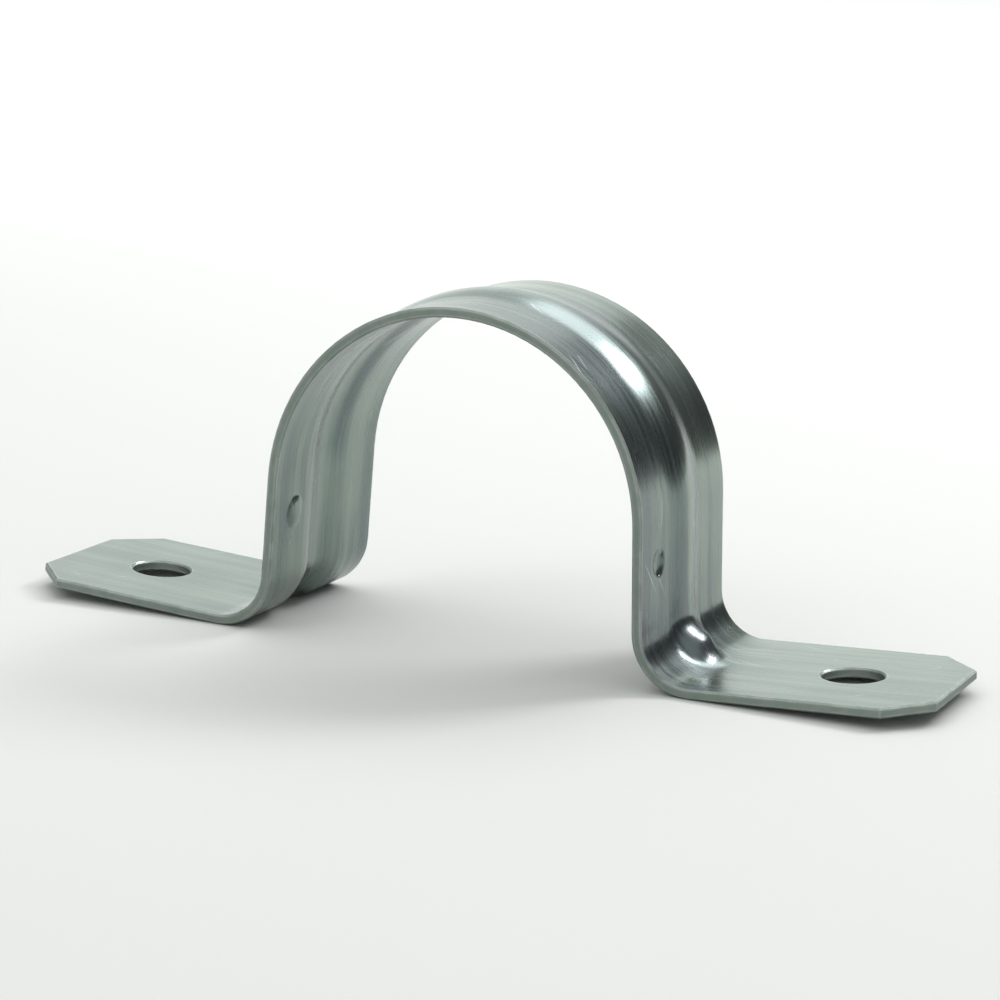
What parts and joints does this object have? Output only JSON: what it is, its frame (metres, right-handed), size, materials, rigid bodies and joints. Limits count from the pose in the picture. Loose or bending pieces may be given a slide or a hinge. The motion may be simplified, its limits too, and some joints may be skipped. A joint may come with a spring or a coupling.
{
  "type": "conduit strap",
  "caption": "Arched sheet-steel strap with a central stiffening rib, heel darts and drilled feet, that holds a round conduit against a flat surface.",
  "frame": {"origin": "middle of the footprint, on the plane under the two heels", "axes": "+X from foot to foot, +Y along the conduit, +Z away from the wall"},
  "size_m": [0.1132, 0.0254, 0.0413],
  "materials": {
    "zinc_steel": "zinc-plated mild steel, semi-gloss with a faint green and blue cast"
  },
  "bodies": {
    "root": {"strap": "zinc_steel"}
  },
  "joints": []
}
